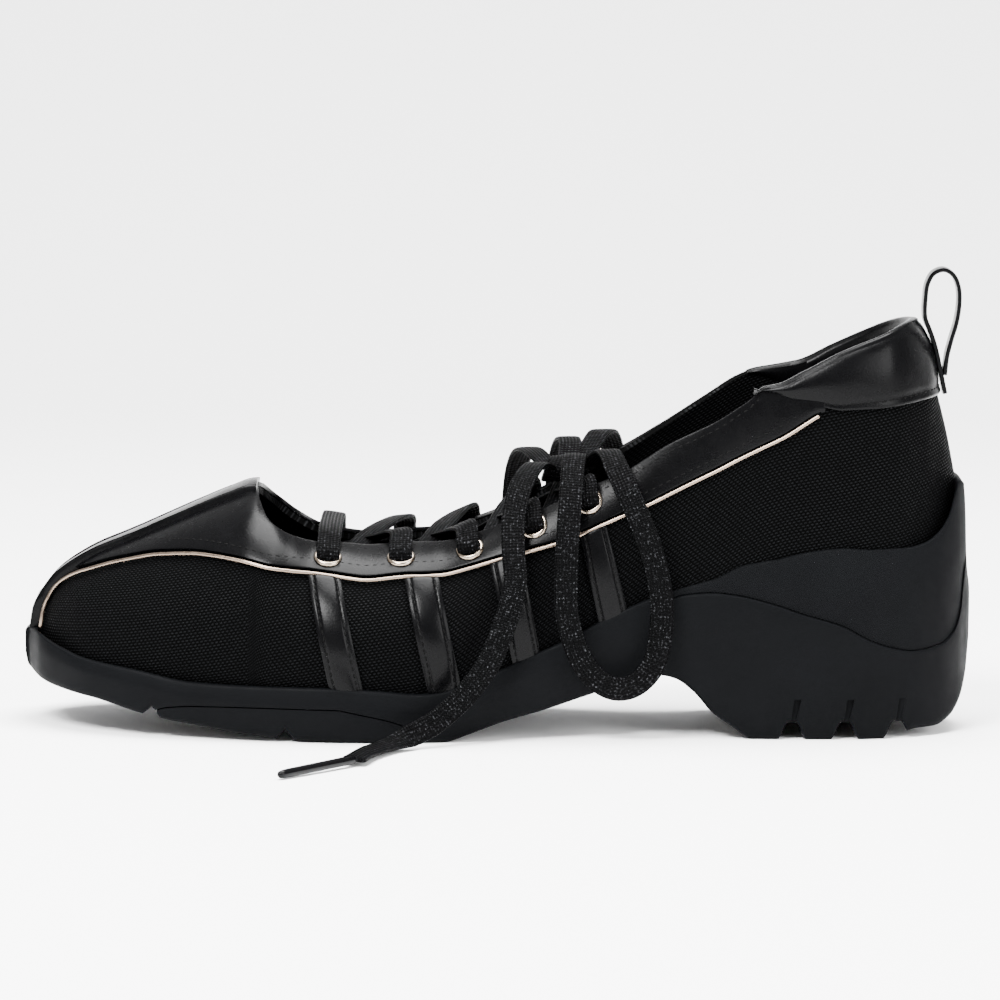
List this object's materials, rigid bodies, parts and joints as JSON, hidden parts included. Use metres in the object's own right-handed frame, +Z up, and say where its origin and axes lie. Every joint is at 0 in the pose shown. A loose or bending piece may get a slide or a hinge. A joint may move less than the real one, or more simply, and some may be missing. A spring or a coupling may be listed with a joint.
{
  "type": "heeled sneaker",
  "caption": "Black heeled sneaker for the left foot: mesh sides, leather vamp and straps, open laced throat, padded collar with pull loop, moulded rubber sole with a lugged block heel.",
  "frame": {"origin": "on the floor under the middle of the shoe: the centre of the bottom of its box, without the free lace", "axes": "+X towards the heel, +Y towards the inner side of the foot, +Z up"},
  "size_m": [0.265, 0.1553, 0.1292],
  "materials": {
    "mesh": "matte black knitted mesh",
    "leather": "smooth black leather, soft gloss",
    "rubber": "matte black rubber with a knurled heel panel",
    "lining": "matte black textile",
    "piping": "pale metallic coated cord",
    "eyelet": "pale satin metal",
    "lace": "flat braid, black with grey specks",
    "aglet": "glossy black"
  },
  "bodies": {
    "root": {"upper": "mesh", "midsole": "rubber", "heel_cradle": "rubber", "forefoot_tread": "rubber", "insole": "lining", "vamp_overlay": "leather", "toe_centre_strip": "leather", "collar_cuff": "leather", "pull_loop": "leather", "piping_lateral": "piping", "piping_medial": "piping", "side_strap_lateral_1": "leather", "side_strap_lateral_2": "leather", "side_strap_lateral_3": "leather", "side_strap_lateral_4": "leather", "side_strap_medial_1": "leather", "side_strap_medial_2": "leather", "side_strap_medial_3": "leather", "side_strap_medial_4": "leather", "eyelet_lateral_1": "eyelet", "eyelet_lateral_2": "eyelet", "eyelet_lateral_3": "eyelet", "eyelet_lateral_4": "eyelet", "eyelet_lateral_5": "eyelet", "eyelet_medial_1": "eyelet", "eyelet_medial_2": "eyelet", "eyelet_medial_3": "eyelet", "eyelet_medial_4": "eyelet", "eyelet_medial_5": "eyelet", "lace_bar": "lace", "lace_crossing_1": "lace", "lace_crossing_2": "lace", "lace_crossing_3": "lace", "lace_crossing_4": "lace", "lace_knot": "lace", "lace_loop_lateral": "lace", "lace_loop_medial": "lace", "lace_end_lateral": "lace", "lace_end_medial": "lace", "aglet_lateral": "aglet", "aglet_medial": "aglet"}
  },
  "joints": []
}
